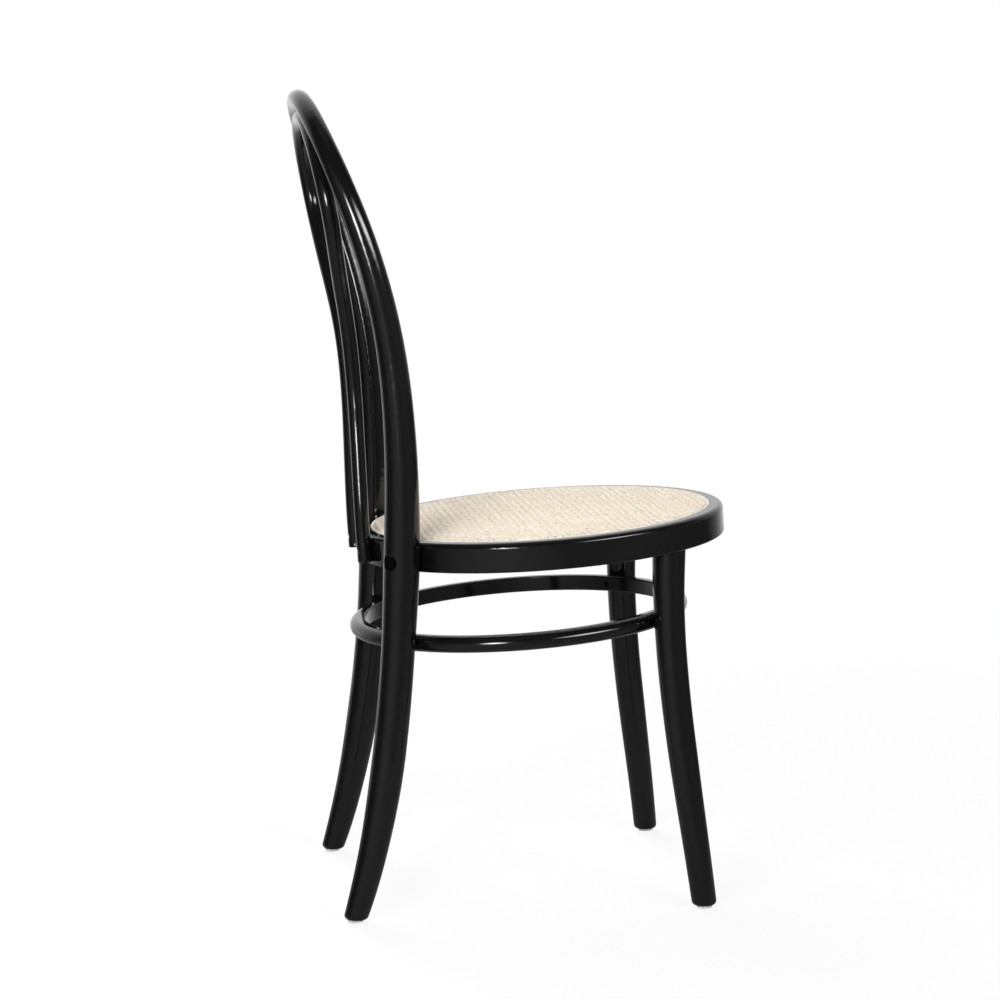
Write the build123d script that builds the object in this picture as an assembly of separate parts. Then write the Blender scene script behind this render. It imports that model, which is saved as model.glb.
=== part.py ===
from build123d import *
import os
from math import copysign, cos, radians, sin

# Bentwood chair with a round cane seat. Millimetres and degrees.
# Front is -Y, up is +Z. The layout is worked out round the seat's middle and then
# moved so that the origin lies on the floor below the middle of the whole chair.

# Seat ring
seat_height = 448.0
seat_slope = 3.2
seat_ring_radius = 221.0
seat_ring_width = 38.0
seat_ring_depth = 34.0
seat_ring_top_round = 6.0
seat_ring_corner_round = 2.0

# Cane and the spline that holds it
rim_width = 16.0
spline_width = 4.0
spline_crown = 0.9
groove_depth = 7.0
cane_thickness = 1.2
cane_eye_pitch = 33.0
cane_eye_width = 18.0
cane_eye_margin = 8.0
cane_eye_sides = 8

# Stretcher ring inside the legs
leg_ring_inset = 16.0
leg_ring_height = 328.0
leg_ring_setback = 28.0
leg_ring_width = 18.0
leg_ring_depth = 19.0
leg_ring_corner_round = 1.5

# Back hoop, with the rear legs in the same rod
hoop_seat_angle = 39.5
hoop_leg_ring_angle = 43.1
rear_foot_splay = 12.5
rear_foot_kick = 58.4
rear_leg_sweep = 10.0
hoop_flare = 4.8
lumbar_rise = 131.0
lumbar_lean = -1.4
mid_back_rise = 249.0
mid_back_lean = 8.4
shoulder_rise = 394.0
shoulder_lean = 44.7
arch_rise = 133.6
arch_lean = 50.0
arch_squareness = 0.88
hoop_foot_diameter = 28.5
hoop_calf_diameter = 38.6
hoop_leg_diameter = 39.2
hoop_seat_diameter = 42.6
hoop_shoulder_diameter = 27.5
hoop_top_diameter = 22.4

# Inner bow of the back
bow_foot_angle = 15.4
bow_foot_lift = 4.0
bow_foot_diameter = 17.0
bow_top_diameter = 19.0
bow_end_round = 1.5
bow_inset = 32.0
bow_waist_half_width = 53.0
bow_waist_rise = 242.0
bow_waist_lean = 11.0
bow_nest_tilt = 11.0
bow_arch_step = 30.0
bow_arch_lean = 19.0

# Front legs
front_leg_seat_angle = 49.9
front_leg_leg_ring_angle = 45.3
front_leg_edge = 4.0
front_foot_splay = 27.5
front_foot_kick = 32.9
front_leg_sweep = 3.0
front_leg_top_diameter = 39.0
front_leg_ring_diameter = 36.0
front_leg_shin_diameter = 34.0
front_leg_foot_diameter = 29.0
tenon_diameter = 22.0
tenon_length = 20.0

# Feet
foot_round = 5.0
glide_diameter = 18.0
glide_height = 3.0
glide_round = 1.0
nail_diameter = 2.5
nail_length = 18.0
nail_in_glide = 1.8

# Fasteners
bolt_diameter = 8.0
bolt_head_width = 13.0
bolt_head_height = 5.3
bolt_nut_height = 6.5
bolt_tip = 2.0
bolt_counterbore_diameter = 19.0
bolt_counterbore_depth = 9.0
washer_diameter = 17.0
washer_thickness = 1.6
spot_face_depth = 0.6
screw_diameter = 4.0
screw_head_diameter = 8.0
screw_head_height = 2.6
screw_counterbore_depth = 4.0
screw_grip = 18.0
bow_screw_offset = 28.0

# Fits
joint_bite = 1.5
bow_bite = 0.6
nest_gap = 0.2
hole_clearance = 0.3
pilot_clearance = 0.05
end_clearance = 0.5

# How far a cut runs on past the face it opens
overcut = 10.0

# How finely the rods follow their curves
arch_step_count = 6
hoop_section_count = 48
bow_section_count = 44
leg_section_count = 12

sides = {"left": 1, "right": -1}
spline_radius = seat_ring_radius - rim_width
leg_ring_radius = seat_ring_radius - leg_ring_inset
seat_frame = Location((0, 0, seat_height), (-seat_slope, 0, 0))
leg_ring_frame = Location((0, leg_ring_setback, leg_ring_height), (-seat_slope, 0, 0))


def ring_spot(frame, radius, angle, side, drop):
    """Point at an angle from straight back on a circle in a ring's sloping frame."""
    spot = Pos(side * radius * sin(radians(angle)), radius * cos(radians(angle)), drop)
    return (frame * spot).position


def outward(frame, angle, side):
    """Direction that points straight out of a ring at an angle from straight back."""
    return ring_spot(frame, 1, angle, side, 0) - frame.position


def between(start, end, share):
    return start + (end - start) * share


def midpoint(start, end):
    return (start + end) / 2


def radius_along(stations, height):
    """Radius at a height, in straight tapers between (height, diameter) stations."""
    for (low, low_diameter), (high, high_diameter) in zip(stations, stations[1:]):
        if height <= high:
            share = max(0, (height - low) / (high - low))
            return (low_diameter + (high_diameter - low_diameter) * share) / 2
    return stations[-1][1] / 2


def bent_rod(points, stations, sections, first_normal=None, last_normal=None):
    """Round rod lofted through circles set square to a smooth line through the points."""
    line = Spline(*points)
    rings = []
    for step in range(sections + 1):
        share = step / sections
        centre = line @ share
        normal = line % share
        if step == 0 and first_normal:
            normal = first_normal
        if step == sections and last_normal:
            normal = last_normal
        across = Vector(0, 1, 0) - normal * normal.Y
        ring_plane = Plane(centre, x_dir=across, z_dir=normal)
        rings.append(ring_plane * Circle(radius_along(stations, centre.Z)))
    return loft(rings)


def rounded_end(rod, end, radius):
    """Rounds the edge of the rod's end that has the given centre."""
    rims = [edge for edge in rod.edges() if edge.is_closed]
    rim = min(rims, key=lambda edge: (edge.center(CenterOf.BOUNDING_BOX) - end).length)
    return fillet(rim, radius)


def drill(start, direction, length, diameter):
    """Round hole or shank from a start point along a direction."""
    return Plane(start, z_dir=direction) * Pos(0, 0, length / 2) * Cylinder(diameter / 2, length)


def arch(spring, rise, lean):
    """Squared half ellipse in a plane that leans back, from one spring to its mirror image."""
    points = []
    for step in range(arch_step_count + 1):
        turn = radians(180 * step / arch_step_count)
        across = copysign(abs(cos(turn)) ** arch_squareness, cos(turn))
        height = abs(sin(turn)) ** arch_squareness
        points.append(Vector(spring.X * across, spring.Y + lean * height, spring.Z + rise * height))
    return points


def mirrored(points):
    return [Vector(-point.X, point.Y, point.Z) for point in reversed(points)]


# What is drilled or cut out of each wooden piece, gathered as its joints are laid out
hoop_cuts = []
bow_cuts = []
seat_ring_cuts = []
leg_ring_cuts = []
front_leg_cuts = {name: [] for name in sides}


# Seat ring: a round-edged band with the cane groove in its top
seat_inner_radius = seat_ring_radius - seat_ring_width
ring_middle = seat_inner_radius + seat_ring_width / 2
ring_section = Pos(ring_middle, -seat_ring_depth / 2) * Rectangle(seat_ring_width, seat_ring_depth)
ring_section = Plane.XZ * ring_section
outer_top = ring_section.vertices().sort_by(lambda vertex: vertex.X + vertex.Z)[-1]
ring_section = fillet(outer_top, seat_ring_top_round)
lower_corners = ring_section.vertices().group_by(Axis.Z)[0]
ring_section = fillet(lower_corners, seat_ring_corner_round)
ring_band = seat_frame * revolve(ring_section, Axis.Z)
groove_inner_radius = spline_radius - spline_width - cane_thickness
groove = Cylinder(spline_radius, groove_depth) - Cylinder(groove_inner_radius, groove_depth)
seat_ring_cuts.append(seat_frame * Pos(0, 0, -groove_depth / 2) * groove)

# Leg ring: flat inside, fully rounded outside
half_depth = leg_ring_depth / 2
leg_ring_inner_radius = leg_ring_radius - leg_ring_width
flat_end = leg_ring_radius - half_depth
leg_ring_outline = [
    Line((leg_ring_inner_radius, half_depth), (leg_ring_inner_radius, -half_depth)),
    Line((leg_ring_inner_radius, -half_depth), (flat_end, -half_depth)),
    RadiusArc((flat_end, -half_depth), (leg_ring_radius, 0), -half_depth),
    RadiusArc((leg_ring_radius, 0), (flat_end, half_depth), -half_depth),
    Line((flat_end, half_depth), (leg_ring_inner_radius, half_depth)),
]
leg_ring_section = make_face(leg_ring_outline)
leg_ring_section = fillet(leg_ring_section.vertices().group_by(Axis.X)[0], leg_ring_corner_round)
leg_ring_band = leg_ring_frame * revolve(Plane.XZ * leg_ring_section, Axis.Z)

# Back hoop: from one rear foot over the arch to the other
hoop_ring_radius = leg_ring_radius + hoop_leg_diameter / 2 - joint_bite
hoop_seat_radius = seat_ring_radius + hoop_seat_diameter / 2 - joint_bite
hoop_at_leg_ring = ring_spot(leg_ring_frame, hoop_ring_radius, hoop_leg_ring_angle, 1, 0)
hoop_at_seat = ring_spot(seat_frame, hoop_seat_radius, hoop_seat_angle, 1, -seat_ring_depth / 2)
rear_foot = Vector(hoop_at_leg_ring.X + rear_foot_splay, hoop_at_leg_ring.Y + rear_foot_kick, glide_height)
rear_calf = midpoint(rear_foot, hoop_at_leg_ring) - Vector(0, rear_leg_sweep, 0)
shoulder = hoop_at_seat + Vector(hoop_flare, shoulder_lean, shoulder_rise)


def upright_station(rise, lean):
    widening = between(hoop_at_seat, shoulder, rise / shoulder_rise)
    return Vector(widening.X, hoop_at_seat.Y + lean, hoop_at_seat.Z + rise)


hoop_side = [
    rear_foot,
    rear_calf,
    hoop_at_leg_ring,
    hoop_at_seat,
    upright_station(lumbar_rise, lumbar_lean),
    upright_station(mid_back_rise, mid_back_lean),
]
hoop_arch = arch(shoulder, arch_rise, arch_lean)
hoop_points = hoop_side + hoop_arch + mirrored(hoop_side)
hoop_stations = [
    (rear_foot.Z, hoop_foot_diameter),
    (rear_calf.Z, hoop_calf_diameter),
    (hoop_at_leg_ring.Z, hoop_leg_diameter),
    (hoop_at_seat.Z, hoop_seat_diameter),
    (shoulder.Z, hoop_shoulder_diameter),
    (shoulder.Z + arch_rise, hoop_top_diameter),
]
back_hoop = bent_rod(hoop_points, hoop_stations, hoop_section_count, Vector(0, 0, 1), Vector(0, 0, -1))
for foot in (rear_foot, Vector(-rear_foot.X, rear_foot.Y, rear_foot.Z)):
    back_hoop = rounded_end(back_hoop, foot, foot_round)
hoop_cuts += [ring_band, leg_ring_band]

# Inner bow: legs on the rear of the seat ring, a waist, and an arch nested under the hoop
hoop_apex = Vector(0, shoulder.Y + arch_lean, shoulder.Z + arch_rise)
nest_distance = (hoop_top_diameter + bow_top_diameter) / 2 + nest_gap
nest_drop = Vector(0, sin(radians(bow_nest_tilt)), cos(radians(bow_nest_tilt))) * nest_distance
bow_apex = hoop_apex - nest_drop
bow_arch_rise = arch_rise - bow_arch_step
bow_spring = Vector(shoulder.X - bow_inset, bow_apex.Y - bow_arch_lean, bow_apex.Z - bow_arch_rise)
bow_foot_radius = seat_ring_radius + bow_foot_diameter / 2 - bow_bite
bow_foot_drop = bow_foot_lift - seat_ring_depth
bow_foot = ring_spot(seat_frame, bow_foot_radius, bow_foot_angle, 1, bow_foot_drop)
bow_seat = ring_spot(seat_frame, bow_foot_radius, bow_foot_angle, 1, 0)
bow_waist = Vector(bow_waist_half_width, bow_seat.Y + bow_waist_lean, bow_seat.Z + bow_waist_rise)
bow_side = [bow_foot, bow_seat, bow_waist, midpoint(bow_waist, bow_spring)]
bow_arch = arch(bow_spring, bow_arch_rise, bow_arch_lean)
bow_stations = [(bow_foot.Z, bow_foot_diameter), (bow_apex.Z, bow_top_diameter)]
inner_bow = bent_rod(bow_side + bow_arch + mirrored(bow_side), bow_stations, bow_section_count)
for foot in (bow_foot, Vector(-bow_foot.X, bow_foot.Y, bow_foot.Z)):
    inner_bow = rounded_end(inner_bow, foot, bow_end_round)
bow_cuts.append(ring_band)

# Front legs: curved, tapered, with a round tenon in the seat ring
front_seat_radius = seat_ring_radius - front_leg_edge - front_leg_top_diameter / 2
front_ring_radius = leg_ring_radius + front_leg_ring_diameter / 2 - joint_bite
seat_normal = (seat_frame * Pos(0, 0, 1)).position - seat_frame.position


def make_front_leg(side):
    top = ring_spot(seat_frame, front_seat_radius, 180 - front_leg_seat_angle, side, -seat_ring_depth)
    at_ring = ring_spot(leg_ring_frame, front_ring_radius, 180 - front_leg_leg_ring_angle, side, 0)
    foot = Vector(at_ring.X + side * front_foot_splay, at_ring.Y - front_foot_kick, glide_height)
    shin = midpoint(foot, at_ring) + Vector(-side * front_leg_sweep, front_leg_sweep, 0)
    stations = [
        (foot.Z, front_leg_foot_diameter),
        (shin.Z, front_leg_shin_diameter),
        (at_ring.Z, front_leg_ring_diameter),
        (top.Z, front_leg_top_diameter),
    ]
    leg = bent_rod([foot, shin, at_ring, top], stations, leg_section_count, Vector(0, 0, 1), seat_normal)
    leg = rounded_end(leg, foot, foot_round) + drill(top, seat_normal, tenon_length, tenon_diameter)
    return leg, top, foot


front_legs = {}
feet = {}
for name, side in sides.items():
    front_legs[name], tenon_foot, feet["front_" + name] = make_front_leg(side)
    feet["rear_" + name] = Vector(side * rear_foot.X, rear_foot.Y, rear_foot.Z)
    socket_length = tenon_length + end_clearance
    seat_ring_cuts.append(drill(tenon_foot, seat_normal, socket_length, tenon_diameter + hole_clearance))
    front_leg_cuts[name].append(leg_ring_band)

# Cane: a thin panel turned down into the groove, and the spline that wedges it there.
# Eight-sided eyes stand for the weave's own, fewer and larger in the same share of the panel.
cane_radius = groove_inner_radius + cane_thickness
eye_reach = seat_inner_radius - cane_eye_width / 2 - cane_eye_margin
eye_count = 2 * int(eye_reach / cane_eye_pitch) + 1
eye_spots = GridLocations(cane_eye_pitch, cane_eye_pitch, eye_count, eye_count)
eye = RegularPolygon(cane_eye_width / 2, cane_eye_sides, major_radius=False, rotation=180 / cane_eye_sides)
eyes = [spot * eye for spot in eye_spots if spot.position.length < eye_reach]
cane_disc = extrude(Circle(cane_radius) - eyes, cane_thickness)
cane_lip = Cylinder(cane_radius, groove_depth) - Cylinder(groove_inner_radius, groove_depth)
cane_panel = seat_frame * (cane_disc + Pos(0, 0, -groove_depth / 2) * cane_lip)
spline_height = groove_depth + spline_crown
spline_section = Pos(spline_radius - spline_width / 2, spline_height / 2 - groove_depth)
spline_section = spline_section * Rectangle(spline_width, spline_height)
spline_section = fillet(spline_section.vertices().group_by(Axis.Y)[-1], spline_crown)
cane_spline = seat_frame * revolve(Plane.XZ * spline_section, Axis.Z)

# Feet: glides pinned under the legs
glides = {}
glide_nails = []
nail_in_leg = nail_length - nail_in_glide
for name, foot in feet.items():
    glide = Pos(foot.X, foot.Y, glide_height / 2) * Cylinder(glide_diameter / 2, glide_height)
    glide = fillet(glide.edges().group_by(Axis.Z)[0], glide_round)
    nail_foot = foot - Vector(0, 0, nail_in_glide)
    glides[name] = glide - drill(nail_foot, (0, 0, 1), nail_in_glide, nail_diameter)
    glide_nails.append(drill(nail_foot, (0, 0, 1), nail_length, nail_diameter))
    nail_hole = drill(foot, (0, 0, 1), nail_in_leg + end_clearance, nail_diameter + 2 * pilot_clearance)
    place, name = name.split("_")
    if place == "rear":
        hoop_cuts.append(nail_hole)
    else:
        front_leg_cuts[name].append(nail_hole)

# Seat bolts: through each upright and the seat ring, nutted inside the ring
seat_bolts = []
seat_bolt_washers = []
seat_bolt_nuts = []
upright_outside = hoop_seat_diameter - joint_bite
head_seat = upright_outside - bolt_counterbore_depth
nut_seat = seat_ring_width - spot_face_depth
for side in sides.values():
    ring_face = ring_spot(seat_frame, seat_ring_radius, hoop_seat_angle, side, -seat_ring_depth / 2)
    out = outward(seat_frame, hoop_seat_angle, side)
    counterbore_length = bolt_counterbore_depth + overcut
    counterbore = drill(ring_face + out * head_seat, out, counterbore_length, bolt_counterbore_diameter)
    bolt_end = nut_seat + washer_thickness + bolt_nut_height + bolt_tip
    bolt_length = bolt_end + head_seat + washer_thickness
    shank = drill(ring_face - out * bolt_end, out, bolt_length, bolt_diameter)
    hole = drill(ring_face - out * bolt_end, out, bolt_length, bolt_diameter + hole_clearance)
    spot_diameter = washer_diameter + 2 * hole_clearance
    spot_face = drill(ring_face - out * nut_seat, -out, spot_face_depth + overcut, spot_diameter)
    hoop_cuts += [counterbore, hole]
    seat_ring_cuts += [hole, spot_face]
    hexagon = RegularPolygon(bolt_head_width / 2, 6, major_radius=False)
    head_plane = Plane(ring_face + out * (head_seat + washer_thickness), z_dir=out)
    seat_bolts.append(shank + extrude(head_plane * hexagon, bolt_head_height))
    for washer_foot in (head_seat, -nut_seat - washer_thickness):
        washer = drill(ring_face + out * washer_foot, out, washer_thickness, washer_diameter)
        seat_bolt_washers.append(washer - hole)
    nut_plane = Plane(ring_face - out * (nut_seat + washer_thickness + bolt_nut_height), z_dir=out)
    seat_bolt_nuts.append(extrude(nut_plane * hexagon, bolt_nut_height) - shank)


def screw(under_head, direction, thickness):
    """Round-headed screw: the space its head and shank need, and the screw itself."""
    length = thickness + screw_grip
    shank = drill(under_head, direction, length, screw_diameter)
    head = drill(under_head, -direction, screw_head_height, screw_head_diameter)
    hole = drill(under_head, direction, length + end_clearance, screw_diameter + 2 * pilot_clearance)
    recess_diameter = screw_head_diameter + 2 * hole_clearance
    recess = drill(under_head, -direction, screw_counterbore_depth + overcut, recess_diameter)
    return hole + recess, shank + head


# Bow screws: at each foot into the seat ring, and up through the arch into the hoop
bow_foot_screws = []
bow_top_screws = []
nest_direction = nest_drop.normalized()
arch_share = (1 - (bow_screw_offset / bow_spring.X) ** 2) ** 0.5
for side in sides.values():
    bow_outside = bow_foot_diameter - bow_bite - screw_counterbore_depth
    spot = ring_spot(seat_frame, seat_ring_radius + bow_outside, bow_foot_angle, side, -seat_ring_depth / 2)
    space, foot_screw = screw(spot, -outward(seat_frame, bow_foot_angle, side), bow_outside)
    bow_cuts.append(space)
    seat_ring_cuts.append(space)
    bow_foot_screws.append(foot_screw)
    on_arch = Vector(
        side * bow_screw_offset,
        bow_spring.Y + bow_arch_lean * arch_share,
        bow_spring.Z + bow_arch_rise * arch_share,
    )
    head_depth = bow_top_diameter / 2 - screw_counterbore_depth
    arch_thickness = bow_top_diameter - screw_counterbore_depth
    space, top_screw = screw(on_arch - nest_direction * head_depth, nest_direction, arch_thickness)
    bow_cuts.append(space)
    hoop_cuts.append(space)
    bow_top_screws.append(top_screw)

# Leg ring screws: from inside the ring into each leg
leg_ring_screws = []
for name, side in sides.items():
    leg_angles = [
        (hoop_leg_ring_angle, hoop_cuts),
        (180 - front_leg_leg_ring_angle, front_leg_cuts[name]),
    ]
    for angle, leg_cuts in leg_angles:
        inside = leg_ring_inner_radius + screw_counterbore_depth
        spot = ring_spot(leg_ring_frame, inside, angle, side, 0)
        thickness = leg_ring_width - screw_counterbore_depth
        space, ring_screw = screw(spot, outward(leg_ring_frame, angle, side), thickness)
        leg_ring_cuts.append(space)
        leg_cuts.append(space)
        leg_ring_screws.append(ring_screw)

# The whole chair, moved to stand on the floor round its own middle
pieces = {
    "back_hoop": [back_hoop - hoop_cuts],
    "inner_bow": [inner_bow - bow_cuts],
    "seat_ring": [ring_band - seat_ring_cuts],
    "leg_ring": [leg_ring_band - leg_ring_cuts],
    "cane_panel": [cane_panel],
    "cane_spline": [cane_spline],
    "seat_bolts": seat_bolts,
    "seat_bolt_washers": seat_bolt_washers,
    "seat_bolt_nuts": seat_bolt_nuts,
    "bow_foot_screws": bow_foot_screws,
    "bow_top_screws": bow_top_screws,
    "leg_ring_screws": leg_ring_screws,
    "glide_nails": glide_nails,
}
for name, leg in front_legs.items():
    pieces["front_leg_" + name] = [leg - front_leg_cuts[name]]
for name, glide in glides.items():
    pieces["glide_" + name] = [glide]

corners = [solid.bounding_box() for solids in pieces.values() for solid in solids]
front = min(corner.min.Y for corner in corners)
back = max(corner.max.Y for corner in corners)
to_origin = Pos(0, -(front + back) / 2, 0)
os.makedirs("parts", exist_ok=True)
for name, solids in pieces.items():
    export_step(Compound([to_origin * solid for solid in solids]), "parts/" + name + ".step")
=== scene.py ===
import math
import bpy
import numpy as np
from mathutils import Matrix, Vector


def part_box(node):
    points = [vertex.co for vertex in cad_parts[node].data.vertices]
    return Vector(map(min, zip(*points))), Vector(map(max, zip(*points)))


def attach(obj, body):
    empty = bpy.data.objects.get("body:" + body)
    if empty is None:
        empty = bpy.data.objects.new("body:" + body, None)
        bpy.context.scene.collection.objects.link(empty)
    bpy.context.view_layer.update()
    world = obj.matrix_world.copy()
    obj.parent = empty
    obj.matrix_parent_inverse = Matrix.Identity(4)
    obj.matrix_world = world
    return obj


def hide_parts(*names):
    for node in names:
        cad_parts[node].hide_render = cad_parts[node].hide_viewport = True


# A black lacquered bentwood chair with a round cane seat, dressed round its solids.
# Metres; front is -Y, up is +Z. Small sizes are written in millimetres times MM.
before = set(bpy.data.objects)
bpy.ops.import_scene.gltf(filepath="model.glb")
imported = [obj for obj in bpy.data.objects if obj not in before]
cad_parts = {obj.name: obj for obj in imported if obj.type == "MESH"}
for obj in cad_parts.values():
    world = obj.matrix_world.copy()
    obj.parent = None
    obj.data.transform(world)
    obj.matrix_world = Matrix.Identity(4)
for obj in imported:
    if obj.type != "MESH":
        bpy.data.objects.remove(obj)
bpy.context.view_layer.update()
MM = 0.001

# Seat, as the solids have it
SEAT_SLOPE = math.radians(3.2)
GROOVE_DEPTH = 7.0 * MM
SPLINE_CROWN = 0.9 * MM
SPLINE_WIDTH = 4.0 * MM
CANE_EDGE_INSET = 4.6 * MM
SPLINE_JOINT = 0.3 * MM
SPLINE_STEPS = 720
SPLINE_TOP_POINTS = 9

# Cane: pairs of strands both ways, and single strands on both diagonals. A strand is flat over a share of its
# width, and sways sideways at a pace of its own.
WEAVE_PERIOD = 8.4 * MM
PAIR_SPREAD = 1.3 * MM
STRAND_WIDTH = 1.9 * MM
STRAND_THICKNESS = 0.6 * MM
STRAND_FLAT = 0.62
DIAGONAL_WIDTH = 1.8 * MM
PAIR_LIFT = 0.32 * MM
DIAGONAL_LIFT = 0.65 * MM
STRAND_SWAY = 0.45 * MM
SWAY_LENGTH = 26.0 * MM
SLOWEST_SWAY = 0.7
FASTEST_SWAY = 1.4
TUCK_LENGTH = 3.0 * MM
STEPS_PER_PERIOD = 7
# Keeps a step of no length, past a strand's end, from being divided by nought
LEAST_LENGTH = 1e-12
RANDOM_SEED = 7

# Camera: where the photograph was taken from, measured from the seat's middle
LENS = 102.88
SENSOR = 36.0
CAMERA_DISTANCE = 3447.5 * MM
CAMERA_YAW = math.radians(7.8)
CAMERA_PITCH = math.radians(7.8)
CAMERA_ROLL = math.radians(-1.0)
AIM_BEHIND_SEAT = 48.46 * MM
AIM_HEIGHT = 465.3 * MM

# The lacquer's shading is rounded over this radius, so that the solids' facets don't show in it
LACQUER_ROUNDING = 2.0 * MM

# Brightness of the studio's walls, by bearing in degrees from the camera's side towards the chair's back
SURROUND = [(-180, 1.0), (-150, 0.9), (-125, 0.35), (-90, 0.17), (-55, 0.23), (-10, 0.15),
            (25, 0.4), (45, 0.38), (80, 0.06), (110, 0.06), (140, 0.75), (180, 1.0)]
# The same for the floor far from the chair, as the lacquer mirrors it
GROUND = [(-180, 1.0), (-150, 0.9), (-130, 0.3), (-116, 0.06), (-90, 0.11), (-55, 0.2), (-10, 0.15),
          (25, 0.4), (45, 0.38), (80, 0.06), (110, 0.06), (140, 0.75), (180, 1.0)]

# Overhead, between the walls and the ceiling, the studio is dim, and bright on the side behind the chair.
# WALL_END and CEILING_START are sines of elevations. BEHIND is how far a level direction points along +X.
WALL_END = (0.1, 0.35)
CEILING_START = (0.85, 0.97)
CEILING_LEVEL = 0.2
OVERHEAD_LEVEL = 0.08
OVERHEAD_LEVEL_BEHIND = 0.9
BEHIND = (0.3, 0.95)

# Floor, by distance from its middle: it takes a faint shadow near the chair, and is dim there in the lacquer
FLOOR_HALF = 40.0
FLOOR_NEAR = 0.5
SHADOW_END = 1.6
GROUND_START = 2.0
NEAR_GLOW = 0.85
NEAR_LEVEL = 0.15
FLOOR_PAINT = (0.9, 0.9, 0.9, 1)
WHITE = (1, 1, 1, 1)

# The lamps are aimed at this point over the floor's middle
LAMP_AIM = Vector((0, 0, 0.5))

# Sockets of a Mix node that mixes colours; its other sockets have the same names
MIX_SHARE = 0
MIX_FIRST = 6
MIX_SECOND = 7
MIXED = 2

random = np.random.default_rng(RANDOM_SEED)

spline_low, spline_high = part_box("cane_spline")
spline_middle = (spline_low + spline_high) / 2
spline_radius = spline_high.x
seat_middle = np.array([0.0, spline_middle.y, spline_middle.z])
seat_middle += (GROOVE_DEPTH - SPLINE_CROWN) / 2 * np.array([0, math.sin(SEAT_SLOPE), math.cos(SEAT_SLOPE)])
cane_radius = spline_radius - CANE_EDGE_INSET


def on_seat(across, back, up):
    """Points given in the seat's own tipped frame, as row-frame points: a turn about X, then a shift."""
    y = back * math.cos(SEAT_SLOPE) + up * math.sin(SEAT_SLOPE)
    z = up * math.cos(SEAT_SLOPE) - back * math.sin(SEAT_SLOPE)
    return np.stack([across, y, z], -1) + seat_middle


def mesh_piece(name, points, face_groups, replaced, uv=None, tint=None):
    """Makes one piece of the chair from points (n, 3) and arrays of faces with as many corners as columns.
    Points that no face uses are dropped. uv and tint are given per point."""
    corners = np.concatenate([group.ravel() for group in face_groups])
    counts = np.concatenate([np.full(len(group), group.shape[1]) for group in face_groups])
    used, corners = np.unique(corners, return_inverse=True)
    points = points[used]
    mesh = bpy.data.meshes.new(name)
    mesh.vertices.add(len(points))
    mesh.vertices.foreach_set("co", points.astype(np.float32).ravel())
    mesh.loops.add(len(corners))
    mesh.loops.foreach_set("vertex_index", corners.astype(np.int32))
    mesh.polygons.add(len(counts))
    starts = np.concatenate([[0], np.cumsum(counts)[:-1]])
    mesh.polygons.foreach_set("loop_start", starts.astype(np.int32))
    mesh.update(calc_edges=True)
    mesh.polygons.foreach_set("use_smooth", np.ones(len(counts), bool))
    if uv is not None:
        layer = mesh.uv_layers.new(name="lengthwise")
        layer.data.foreach_set("uv", uv[used][corners].astype(np.float32).ravel())
    if tint is not None:
        tints = mesh.attributes.new("tint", "FLOAT", "POINT")
        tints.data.foreach_set("value", tint[used].astype(np.float32))
    mesh.validate()
    piece = bpy.data.objects.new(name, mesh)
    bpy.context.scene.collection.objects.link(piece)
    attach(piece, "root")
    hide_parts(replaced)
    return piece


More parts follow.
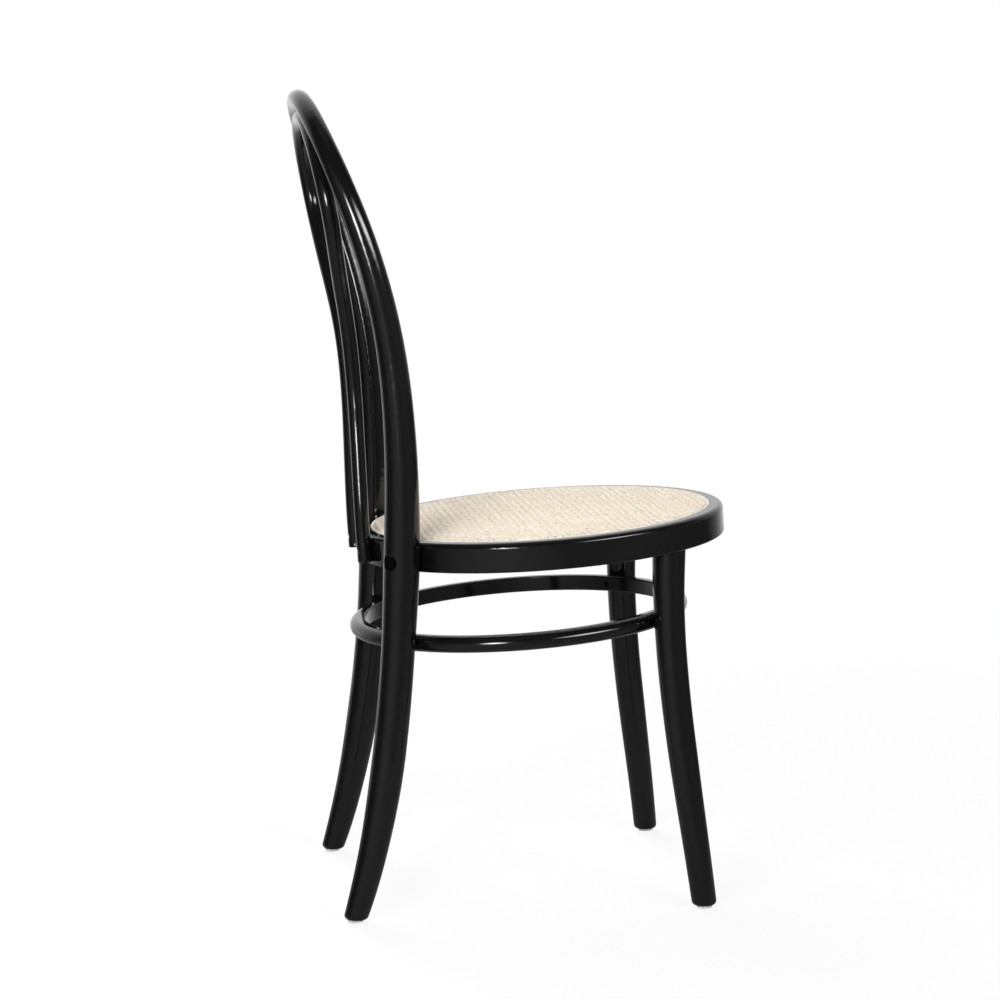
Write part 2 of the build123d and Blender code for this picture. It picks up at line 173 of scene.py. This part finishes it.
def cane_strands(name, offsets, heading, lift, width, step):
    """Strands laid side by side across the round seat, as a flat oval carried along wavy lines.
    A strand is the chord at its offset from the middle. Its line rises and falls by lift(along, offset).
    Past the rim, the rest of its length turns straight down into the groove. It also sways sideways a
    little, as a sine whose length and start are its own.
    The oval is set square to that line: its width lies level, its thickness along the line's normal."""
    forward = np.array([math.cos(heading), math.sin(heading)])
    sideways = np.array([-forward[1], forward[0]])
    reach = math.ceil((cane_radius + TUCK_LENGTH) / step)
    along = np.arange(-reach, reach + 1) * step
    half = np.sqrt(np.maximum(cane_radius**2 - offsets**2, 0))[:, None]
    flat = np.clip(along[None, :], -half, half)
    past = np.clip(np.abs(along)[None, :] - half, 0, TUCK_LENGTH)
    height = lift(flat, offsets[:, None]) + STRAND_THICKNESS / 2 + DIAGONAL_LIFT - past
    run = np.gradient(flat, axis=1)
    climb = np.gradient(height, axis=1)
    length = np.hypot(run, climb) + LEAST_LENGTH
    run, climb = run / length, climb / length

    # The oval's six corners, from one edge over the top to the other and back below
    wide = np.array([-1.0, -STRAND_FLAT, STRAND_FLAT, 1.0, STRAND_FLAT, -STRAND_FLAT]) * width / 2
    thick = np.array([0.0, 1.0, 1.0, 0.0, -1.0, -1.0]) * STRAND_THICKNESS / 2
    lengthwise = flat[..., None] - climb[..., None] * thick
    upward = height[..., None] + run[..., None] * thick
    pace = SLOWEST_SWAY + (FASTEST_SWAY - SLOWEST_SWAY) * random.random((len(offsets), 1))
    begin = random.random((len(offsets), 1))
    sway = STRAND_SWAY * np.sin(2 * math.pi * (pace * flat / SWAY_LENGTH + begin))
    level = (offsets[:, None] + sway)[..., None] + wide
    across = lengthwise * forward[0] + level * sideways[0]
    back = lengthwise * forward[1] + level * sideways[1]
    points = on_seat(across, back, upward).reshape(-1, 3)

    # Faces only where the strand is laid, and a cap on each of its ends
    shape = across.shape
    index = np.arange(np.prod(shape)).reshape(shape)
    turned = np.roll(index, -1, axis=2)
    quads = np.stack([index[:, :-1], index[:, 1:], turned[:, 1:], turned[:, :-1]], -1)
    laid = np.abs(along)[None, :] <= half + TUCK_LENGTH
    both = laid[:, :-1] & laid[:, 1:]
    first = laid.argmax(1)
    last = laid.shape[1] - 1 - laid[:, ::-1].argmax(1)
    rows = np.arange(len(offsets))
    caps = [index[rows, first], index[rows, last][:, ::-1]]
    tone = np.broadcast_to(random.random(len(offsets))[:, None, None], shape)
    start = random.random(len(offsets))[:, None, None]
    uv = np.stack([np.broadcast_to(along[None, :, None] + start, shape), np.broadcast_to(wide, shape)], -1)
    return mesh_piece(name, points, [quads[both].reshape(-1, 4), *caps], "cane_panel",
                      uv.reshape(-1, 2), tone.ravel())


def weave_cane():
    """The open six-way weave: plain weave where pairs cross, and diagonals over one set of pairs and under
    the other. A pair's two strands are sine waves of opposite sign along their length. A diagonal is a cosine
    of the place across the seat."""
    turn = 2 * math.pi / WEAVE_PERIOD
    crest = math.sin(turn * PAIR_SPREAD)
    step = WEAVE_PERIOD / STEPS_PER_PERIOD
    sloping = step * math.sqrt(2)
    inside = cane_radius - STRAND_WIDTH
    count = math.floor((inside - PAIR_SPREAD) / WEAVE_PERIOD)
    middles = np.arange(-count, count + 1) * WEAVE_PERIOD
    first, second = middles - PAIR_SPREAD, middles + PAIR_SPREAD
    diagonal_gap = WEAVE_PERIOD / math.sqrt(2)
    count = math.floor(inside / diagonal_gap)
    slanted = (np.arange(-count, count) + 0.5) * diagonal_gap

    def pair_lift(sign):
        return lambda along, offset: sign * PAIR_LIFT * np.sin(turn * along) / crest

    def diagonal_lift(sign):
        slanting = turn / math.sqrt(2)
        return lambda along, offset: sign * DIAGONAL_LIFT * np.cos(slanting * (along - sign * offset))

    return [
        cane_strands("cane_across_first", first, 0.0, pair_lift(-1), STRAND_WIDTH, step),
        cane_strands("cane_across_second", second, 0.0, pair_lift(1), STRAND_WIDTH, step),
        cane_strands("cane_back_first", first, math.pi / 2, pair_lift(-1), STRAND_WIDTH, step),
        cane_strands("cane_back_second", second, math.pi / 2, pair_lift(1), STRAND_WIDTH, step),
        cane_strands("cane_rising", slanted, math.pi / 4, diagonal_lift(1), DIAGONAL_WIDTH, sloping),
        cane_strands("cane_falling", slanted, -math.pi / 4, diagonal_lift(-1), DIAGONAL_WIDTH, sloping),
    ]


def reed_spline():
    """Reed strip pressed into the groove over the cane's edge, its two ends butted at the back of the seat.
    The strip is carried round a circle. Its top is a low parabola, its sides and foot are straight."""
    middle = spline_radius - SPLINE_WIDTH / 2
    gap = SPLINE_JOINT / middle
    around = np.linspace(math.pi / 2 + gap / 2, math.pi * 5 / 2 - gap / 2, SPLINE_STEPS)[:, None]
    level = np.linspace(-1, 1, SPLINE_TOP_POINTS)
    outward = np.append(level, [1.0, -1.0]) * SPLINE_WIDTH / 2
    up = np.append((1 - level**2) * SPLINE_CROWN, [-GROOVE_DEPTH, -GROOVE_DEPTH])
    radius = middle + outward
    points = on_seat(radius * np.cos(around), radius * np.sin(around), up).reshape(-1, 3)
    index = np.arange(len(points)).reshape(SPLINE_STEPS, -1)
    turned = np.roll(index, -1, axis=1)
    quads = np.stack([index[:-1], turned[:-1], turned[1:], index[1:]], -1).reshape(-1, 4)
    caps = [index[:1, ::-1], index[-1:]]
    girth = np.concatenate([[0], np.cumsum(np.hypot(np.diff(outward), np.diff(up)))])
    uv = np.stack(np.broadcast_arrays(around * middle, girth), -1).reshape(-1, 2)
    return mesh_piece("reed_strip", points, [quads, *caps], "cane_spline", uv)


def linear(code):
    """Linear red, green, blue and alpha of an sRGB hex colour."""
    parts = [int(code[i:i + 2], 16) / 255 for i in (1, 3, 5)]
    return [p / 12.92 if p <= 0.04045 else ((p + 0.055) / 1.055) ** 2.4 for p in parts] + [1.0]


def add(tree, kind, inputs=None, **settings):
    """Adds a node, gives it its settings, and sets each named socket or links another node's socket to it."""
    made = tree.nodes.new(kind)
    for name, value in settings.items():
        setattr(made, name, value)
    for socket, value in (inputs or {}).items():
        if isinstance(value, bpy.types.NodeSocket):
            tree.links.new(value, made.inputs[socket])
        else:
            made.inputs[socket].default_value = value
    return made


def new_material(name, **sockets):
    """A material of one Principled shader, with the values that are the same all over set on its sockets."""
    material = bpy.data.materials.new(name)
    material.use_nodes = True
    tree = material.node_tree
    shader = tree.nodes["Principled BSDF"]
    for socket, value in sockets.items():
        shader.inputs[socket.replace("_", " ")].default_value = value
    return material, tree, shader


def black_lacquer():
    """Black polyurethane lacquer, sprayed and rubbed on bent beech: near-black and deep, with sharp but
    slightly rippled reflections, and pores that barely print through, drawn out upwards."""
    material, tree, shader = new_material("black_lacquered_beech", IOR=1.5)
    where = add(tree, "ShaderNodeTexCoord").outputs["Object"]
    grain_way = add(tree, "ShaderNodeMapping", {"Vector": where, "Scale": (1.0, 1.0, 0.06)}).outputs[0]
    ripple = add(tree, "ShaderNodeTexNoise",
                 {"Vector": where, "Scale": 1 / (9 * MM), "Detail": 2.0}).outputs[0]
    # Beech pores are about 0.1 mm across; they are drawn coarser, so that they show
    pores = add(tree, "ShaderNodeTexNoise",
                {"Vector": grain_way, "Scale": 1 / (0.9 * MM), "Detail": 3.0}).outputs[0]
    colour = add(tree, "ShaderNodeMix",
                 {MIX_SHARE: ripple, MIX_FIRST: linear("#070708"), MIX_SECOND: linear("#0C0C0D")},
                 data_type="RGBA").outputs[MIXED]
    tree.links.new(colour, shader.inputs["Base Color"])
    rough = add(tree, "ShaderNodeMapRange", {"Value": pores, "To Min": 0.08, "To Max": 0.13}).outputs[0]
    tree.links.new(rough, shader.inputs["Roughness"])
    rounded = add(tree, "ShaderNodeBevel", {"Radius": LACQUER_ROUNDING}, samples=8).outputs[0]
    rippled = add(tree, "ShaderNodeBump", {"Height": ripple, "Strength": 0.01, "Distance": 0.5 * MM,
                                           "Normal": rounded}).outputs[0]
    pored = add(tree, "ShaderNodeBump", {"Height": pores, "Strength": 0.005, "Distance": 0.1 * MM,
                                         "Normal": rippled}).outputs[0]
    tree.links.new(pored, shader.inputs["Normal"])
    return material


def cane_bark():
    """Rattan cane: the smooth outer bark, split and shaved. Cream to honey by strand, with fine lengthwise
    streaks, darker leaf-joint bands and brown flecks."""
    material, tree, shader = new_material("rattan_cane", IOR=1.5, Roughness=0.45)
    uv = add(tree, "ShaderNodeUVMap", uv_map="lengthwise").outputs[0]
    tone = add(tree, "ShaderNodeAttribute", attribute_name="tint").outputs["Fac"]
    streak_way = add(tree, "ShaderNodeMapping", {"Vector": uv, "Scale": (0.05, 1.0, 1.0)}).outputs[0]
    # Cane fibres are about 0.2 mm apart; their streaks are drawn coarser, so that they show
    streaks = add(tree, "ShaderNodeTexNoise",
                  {"Vector": streak_way, "Scale": 1 / (0.5 * MM), "Detail": 2.0}).outputs[0]
    bands = add(tree, "ShaderNodeTexNoise",
                {"Vector": uv, "Scale": 1 / (40 * MM), "Detail": 1.0}).outputs[0]
    fleck_way = add(tree, "ShaderNodeMapping", {"Vector": uv, "Scale": (0.3, 1.0, 1.0)}).outputs[0]
    flecks = add(tree, "ShaderNodeTexNoise",
                 {"Vector": fleck_way, "Scale": 1 / (2.2 * MM), "Detail": 1.0}).outputs[0]
    colour = add(tree, "ShaderNodeMix",
                 {MIX_SHARE: tone, MIX_FIRST: linear("#FBF4EA"), MIX_SECOND: linear("#E9DBC4")},
                 data_type="RGBA").outputs[MIXED]

    # Each marking starts and is full at two levels of its noise, and covers at most a share of the bark
    markings = [(streaks, 0.35, 0.75, 0.3, "#E3D1B6"),
                (bands, 0.58, 0.78, 0.35, "#D5BD9A"),
                (flecks, 0.62, 0.72, 0.65, "#8C6C4A")]
    for noise, start, full, most, code in markings:
        cover = add(tree, "ShaderNodeMapRange", {"Value": noise, "From Min": start, "From Max": full,
                                                 "To Max": most}).outputs[0]
        colour = add(tree, "ShaderNodeMix",
                     {MIX_SHARE: cover, MIX_FIRST: colour, MIX_SECOND: linear(code)},
                     data_type="RGBA").outputs[MIXED]
    tree.links.new(colour, shader.inputs["Base Color"])
    bump = add(tree, "ShaderNodeBump", {"Height": streaks, "Strength": 0.3, "Distance": 0.1 * MM}).outputs[0]
    tree.links.new(bump, shader.inputs["Normal"])
    return material


def bleached_reed():
    """Reed core, bleached and pressed: nearly white and matt, with faint fibres along the strip."""
    material, tree, shader = new_material("bleached_reed", IOR=1.45, Roughness=0.55)
    uv = add(tree, "ShaderNodeUVMap", uv_map="lengthwise").outputs[0]
    fibre_way = add(tree, "ShaderNodeMapping", {"Vector": uv, "Scale": (0.04, 1.0, 1.0)}).outputs[0]
    # Reed fibres are about 0.1 mm apart; they are drawn coarser, so that they show
    fibres = add(tree, "ShaderNodeTexNoise",
                 {"Vector": fibre_way, "Scale": 1 / (0.35 * MM), "Detail": 3.0}).outputs[0]
    colour = add(tree, "ShaderNodeMix",
                 {MIX_SHARE: fibres, MIX_FIRST: linear("#F4F1EA"), MIX_SECOND: linear("#E4DDD0")},
                 data_type="RGBA").outputs[MIXED]
    tree.links.new(colour, shader.inputs["Base Color"])
    bump = add(tree, "ShaderNodeBump", {"Height": fibres, "Strength": 0.2, "Distance": 0.1 * MM}).outputs[0]
    tree.links.new(bump, shader.inputs["Normal"])
    return material


def moulded_glide():
    """Natural polyethylene, moulded: milky white, slightly see-through, with a soft sheen. Its white is
    painted down to light greys, as painted shade for the shade under the feet.
    """
    material, tree, shader = new_material("moulded_polyethylene", IOR=1.51, Subsurface_Weight=0.15,
                                          Subsurface_Radius=(1, 1, 1), Subsurface_Scale=2 * MM)
    where = add(tree, "ShaderNodeTexCoord").outputs["Object"]
    scuffs = add(tree, "ShaderNodeTexNoise",
                 {"Vector": where, "Scale": 1 / (1.5 * MM), "Detail": 3.0}).outputs[0]
    # Both greys are the milky white darkened, as painted shade for the shade under the feet; the noise varies
    # the tone at random
    colour = add(tree, "ShaderNodeMix",
                 {MIX_SHARE: scuffs, MIX_FIRST: linear("#D2D3D4"), MIX_SECOND: linear("#BFC1C3")},
                 data_type="RGBA").outputs[MIXED]
    tree.links.new(colour, shader.inputs["Base Color"])
    rough = add(tree, "ShaderNodeMapRange", {"Value": scuffs, "To Min": 0.3, "To Max": 0.5}).outputs[0]
    tree.links.new(rough, shader.inputs["Roughness"])
    return material


def plated_steel(name, light, dark, smoothest, roughest):
    """Steel with a thin plated or blackened coat: a metal whose tone and gloss vary in small patches."""
    material, tree, shader = new_material(name, Metallic=1.0)
    where = add(tree, "ShaderNodeTexCoord").outputs["Object"]
    patches = add(tree, "ShaderNodeTexNoise",
                  {"Vector": where, "Scale": 1 / (1.5 * MM), "Detail": 4.0}).outputs[0]
    colour = add(tree, "ShaderNodeMix",
                 {MIX_SHARE: patches, MIX_FIRST: linear(light), MIX_SECOND: linear(dark)},
                 data_type="RGBA").outputs[MIXED]
    tree.links.new(colour, shader.inputs["Base Color"])
    rough = add(tree, "ShaderNodeMapRange",
                {"Value": patches, "To Min": smoothest, "To Max": roughest}).outputs[0]
    tree.links.new(rough, shader.inputs["Roughness"])
    return material


def finish_pieces(strands, spline):
    """Gives every shown piece its finish, by the record's material slots."""
    finishes = {
        "lacquered_wood": black_lacquer(),
        "cane": cane_bark(),
        "reed_spline": bleached_reed(),
        "glide_plastic": moulded_glide(),
        "blackened_steel": plated_steel("blackened_steel", "#2A2A2C", "#161617", 0.3, 0.5),
        "zinc_steel": plated_steel("zinc_plated_steel", "#B9BCBE", "#8E9294", 0.25, 0.45),
    }
    for cad_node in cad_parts.values():
        slot = cad_node.material_slots[0].material.name
        cad_node.material_slots[0].material = finishes[slot]
    for strand in strands:
        strand.data.materials.append(finishes["cane"])
    spline.data.materials.append(finishes["reed_spline"])


def level_by_bearing(tree, way, levels):
    """Brightness of the studio in the direction of way, read from levels by the bearing of way."""
    parts = add(tree, "ShaderNodeSeparateXYZ", {0: way}).outputs
    towards = add(tree, "ShaderNodeMath", {0: parts["X"], 1: -1.0}, operation="MULTIPLY").outputs[0]
    angle = add(tree, "ShaderNodeMath", {0: parts["Y"], 1: towards}, operation="ARCTAN2").outputs[0]
    share = add(tree, "ShaderNodeMapRange",
                {"Value": angle, "From Min": -math.pi, "From Max": math.pi}).outputs[0]
    ramp = add(tree, "ShaderNodeValToRGB", {0: share})
    stops = ramp.color_ramp.elements
    for bearing, _ in levels[1:-1]:
        stops.new(bearing / 360 + 0.5)
    for stop, (_, level) in zip(stops, levels):
        stop.color = (level, level, level, 1.0)
    return ramp.outputs[0]


def white_floor():
    """Seamless white floor. The camera sees it as white with a faint shadow near the chair. Reflections find
    it as dim as the studio round it."""
    mesh = bpy.data.meshes.new("studio_floor")
    corners = [(-FLOOR_HALF, -FLOOR_HALF, 0), (FLOOR_HALF, -FLOOR_HALF, 0),
               (FLOOR_HALF, FLOOR_HALF, 0), (-FLOOR_HALF, FLOOR_HALF, 0)]
    mesh.from_pydata(corners, [], [(0, 1, 2, 3)])
    floor = bpy.data.objects.new("studio_floor", mesh)
    bpy.context.scene.collection.objects.link(floor)
    material = bpy.data.materials.new("white_studio_floor")
    material.use_nodes = True
    tree = material.node_tree
    tree.nodes.clear()
    path = add(tree, "ShaderNodeLightPath").outputs
    seen = add(tree, "ShaderNodeMath", {0: path["Is Camera Ray"], 1: path["Is Glossy Ray"]},
               operation="MAXIMUM").outputs[0]
    seen = add(tree, "ShaderNodeMath", {0: seen, 1: path["Is Transmission Ray"]},
               operation="MAXIMUM").outputs[0]
    where = add(tree, "ShaderNodeTexCoord").outputs["Object"]
    far = add(tree, "ShaderNodeVectorMath", {0: where}, operation="LENGTH").outputs["Value"]
    glow_share = add(tree, "ShaderNodeMapRange",
                     {"Value": far, "From Min": FLOOR_NEAR, "From Max": SHADOW_END,
                      "To Min": NEAR_GLOW, "To Max": 1.0}).outputs[0]
    share = add(tree, "ShaderNodeMath", {0: seen, 1: glow_share}, operation="MULTIPLY").outputs[0]
    paint = add(tree, "ShaderNodeBsdfDiffuse", {"Color": FLOOR_PAINT}).outputs[0]
    level = add(tree, "ShaderNodeMapRange",
                {"Value": far, "From Min": FLOOR_NEAR, "From Max": GROUND_START,
                 "To Min": NEAR_LEVEL, "To Max": level_by_bearing(tree, where, GROUND)}).outputs[0]
    level = add(tree, "ShaderNodeMath", {0: level, 1: path["Is Camera Ray"]}, operation="MAXIMUM").outputs[0]
    glow = add(tree, "ShaderNodeEmission", {"Color": WHITE, "Strength": level}).outputs[0]
    mix = add(tree, "ShaderNodeMixShader", {0: share, 1: paint, 2: glow}).outputs[0]
    add(tree, "ShaderNodeOutputMaterial", {"Surface": mix})
    mesh.materials.append(material)


def studio_surround():
    """The camera finds white all round. Light and reflections find the studio: a white backdrop behind the
    chair that reaches up overhead, dark to its left and right, grey on the camera's side, and dim above."""
    world = bpy.data.worlds.new("studio_surround")
    bpy.context.scene.world = world
    world.use_nodes = True
    tree = world.node_tree
    tree.nodes.clear()
    way = add(tree, "ShaderNodeTexCoord").outputs["Generated"]
    height = add(tree, "ShaderNodeSeparateXYZ", {0: way}).outputs["Z"]
    level_way = add(tree, "ShaderNodeVectorMath", {0: way, 1: (1, 1, 0)}, operation="MULTIPLY").outputs[0]
    level_way = add(tree, "ShaderNodeVectorMath", {0: level_way}, operation="NORMALIZE").outputs[0]
    behind = add(tree, "ShaderNodeSeparateXYZ", {0: level_way}).outputs["X"]
    overhead = add(tree, "ShaderNodeMapRange",
                   {"Value": behind, "From Min": BEHIND[0], "From Max": BEHIND[1],
                    "To Min": OVERHEAD_LEVEL, "To Max": OVERHEAD_LEVEL_BEHIND}).outputs[0]
    level = add(tree, "ShaderNodeMapRange",
                {"Value": height, "From Min": WALL_END[0], "From Max": WALL_END[1],
                 "To Min": level_by_bearing(tree, way, SURROUND), "To Max": overhead}).outputs[0]
    level = add(tree, "ShaderNodeMapRange",
                {"Value": height, "From Min": CEILING_START[0], "From Max": CEILING_START[1],
                 "To Min": level, "To Max": CEILING_LEVEL}).outputs[0]
    camera = add(tree, "ShaderNodeLightPath").outputs["Is Camera Ray"]
    level = add(tree, "ShaderNodeMath", {0: level, 1: camera}, operation="MAXIMUM").outputs[0]
    surround = add(tree, "ShaderNodeBackground", {"Color": WHITE, "Strength": level}).outputs[0]
    add(tree, "ShaderNodeOutputWorld", {"Surface": surround})


def softbox(name, bearing, elevation, distance, size, watts, mirrored=True):
    """Lamp at a bearing from the camera's side (towards the chair's back is positive), aimed at the chair.
    Its glow is full in the middle and fades in a round to nothing at the edges, so its reflections end
    softly. A lamp that isn't mirrored lights the chair without showing in the lacquer."""
    lamp = bpy.data.lights.new(name, "AREA")
    lamp.shape = "RECTANGLE"
    lamp.size, lamp.size_y = size
    lamp.energy = watts
    lamp.use_nodes = True
    tree = lamp.node_tree
    tree.nodes.clear()
    # Parametric runs from 0 to 1 across the lamp both ways
    place = add(tree, "ShaderNodeNewGeometry").outputs["Parametric"]
    off_middle = add(tree, "ShaderNodeVectorMath", {0: place, 1: (0.5, 0.5, 0)},
                     operation="DISTANCE").outputs["Value"]
    fade = add(tree, "ShaderNodeMapRange",
               {"Value": off_middle, "From Max": 0.5, "To Min": 1.0, "To Max": 0.0},
               interpolation_type="SMOOTHSTEP").outputs[0]
    glow = add(tree, "ShaderNodeEmission", {"Strength": fade}).outputs[0]
    add(tree, "ShaderNodeOutputLight", {"Surface": glow})
    holder = bpy.data.objects.new(name, lamp)
    bpy.context.scene.collection.objects.link(holder)
    turn, rise = math.radians(bearing), math.radians(elevation)
    away = Vector((-math.cos(turn) * math.cos(rise), math.sin(turn) * math.cos(rise), math.sin(rise)))
    holder.location = LAMP_AIM + away * distance
    holder.rotation_euler = away.to_track_quat("Z", "Y").to_euler()
    holder.visible_glossy = mirrored


def light_studio():
    """A small softbox on the camera's left, towards the chair's back, and a wide one on its right, towards
    the chair's front. The lacquer shows those two. A large one behind the chair gives most of the light on
    the cane, and one on the left a soft shadow across it."""
    softbox("softbox_rear", bearing=25, elevation=9.5, distance=1.6, size=(0.6, 0.62), watts=44)
    softbox("softbox_front", bearing=-37, elevation=20.5, distance=2.8, size=(2.8, 0.9), watts=150)
    softbox("softbox_side", bearing=32, elevation=16, distance=2.2, size=(2.0, 1.4), watts=85,
            mirrored=False)
    softbox("softbox_back", bearing=165, elevation=35, distance=2.5, size=(2.0, 1.6), watts=200,
            mirrored=False)


def place_camera():
    """Camera from its distance, yaw, pitch and roll about a point over the seat."""
    camera = bpy.data.cameras.new("photo_camera")
    camera.lens = LENS
    camera.sensor_width = SENSOR
    holder = bpy.data.objects.new("photo_camera", camera)
    bpy.context.scene.collection.objects.link(holder)
    level = math.cos(CAMERA_PITCH)
    back = Vector((-math.cos(CAMERA_YAW) * level, math.sin(CAMERA_YAW) * level, math.sin(CAMERA_PITCH)))
    right = (-back).cross(Vector((0, 0, 1))).normalized()
    up = back.cross(right)
    tipped_right = right * math.cos(CAMERA_ROLL) + up * math.sin(CAMERA_ROLL)
    tipped_up = up * math.cos(CAMERA_ROLL) - right * math.sin(CAMERA_ROLL)
    aim = Vector((0, spline_middle.y + AIM_BEHIND_SEAT, AIM_HEIGHT))
    turn = Matrix((tipped_right, tipped_up, back)).transposed()
    holder.matrix_world = Matrix.Translation(aim + back * CAMERA_DISTANCE) @ turn.to_4x4()
    bpy.context.scene.camera = holder


finish_pieces(weave_cane(), reed_spline())
white_floor()
studio_surround()
light_studio()
place_camera()
bpy.context.scene.view_settings.view_transform = "Standard"
